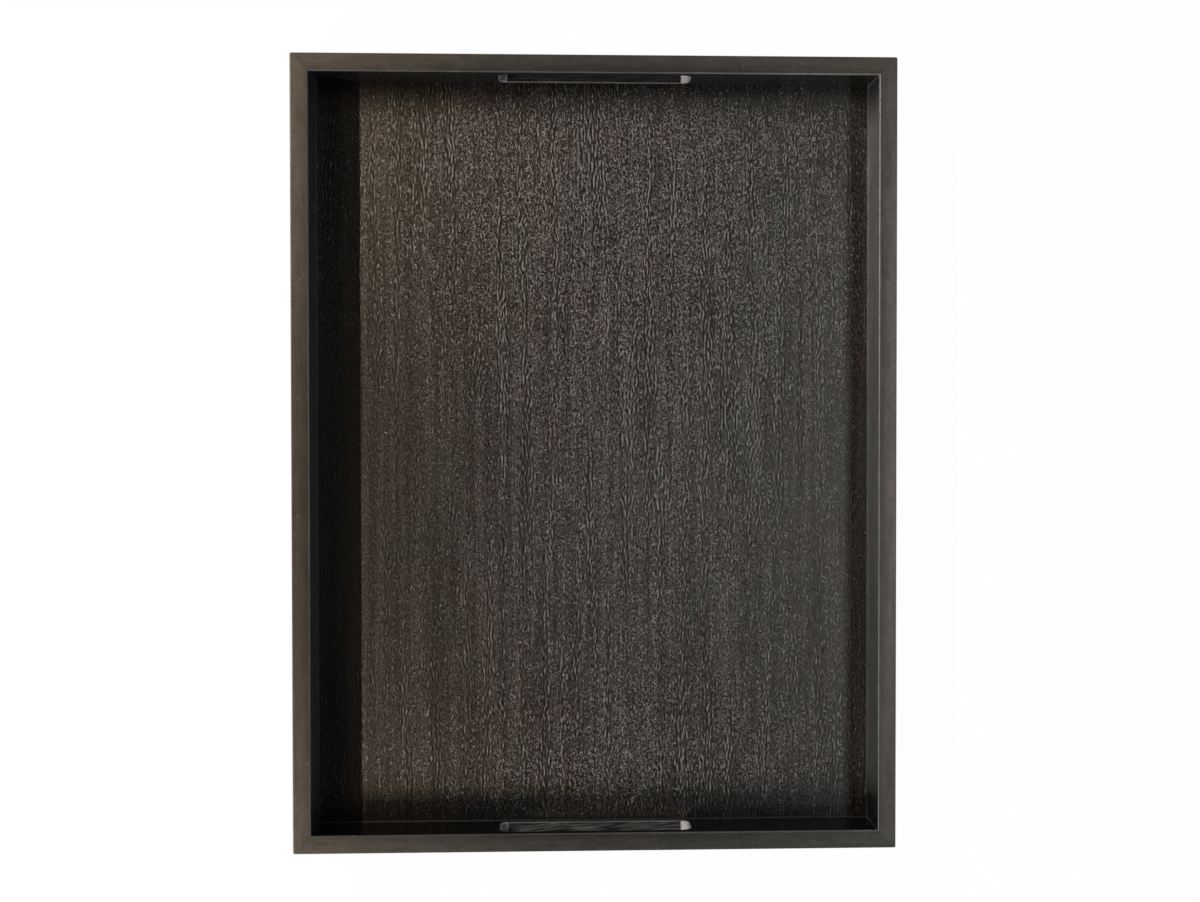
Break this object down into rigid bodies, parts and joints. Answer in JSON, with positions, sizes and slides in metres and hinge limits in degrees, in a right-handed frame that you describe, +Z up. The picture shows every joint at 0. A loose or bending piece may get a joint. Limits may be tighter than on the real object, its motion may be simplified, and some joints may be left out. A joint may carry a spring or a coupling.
{
  "type": "butler tray",
  "caption": "Rectangular dark-stained wooden serving tray with mitred upright rails, a hand slot in each end rail and a flat veneered floor.",
  "frame": {"origin": "centre of the tray's outline, on the surface that it stands on", "axes": "+Y along the long side towards the rear end rail, +X along the short side to the right, +Z up out of the tray"},
  "size_m": [0.464, 0.61, 0.053],
  "materials": {
    "rail_wood": "black-brown stain under satin lacquer",
    "face_veneer": "figured open-pore veneer, black-brown stain under satin lacquer",
    "back_veneer": "plain stained veneer, thin lacquer",
    "core_board": "raw board",
    "spline_wood": "raw hardwood strip",
    "felt": "pressed felt"
  },
  "bodies": {
    "root": {"left_side_rail": "rail_wood", "right_side_rail": "rail_wood", "front_end_rail": "rail_wood", "rear_end_rail": "rail_wood", "floor_face_veneer": "face_veneer", "floor_core": "core_board", "floor_back_veneer": "back_veneer", "corner_spline_front_left": "spline_wood", "corner_spline_front_right": "spline_wood", "corner_spline_rear_left": "spline_wood", "corner_spline_rear_right": "spline_wood", "felt_pad_front_left": "felt", "felt_pad_front_right": "felt", "felt_pad_rear_left": "felt", "felt_pad_rear_right": "felt"}
  },
  "joints": []
}
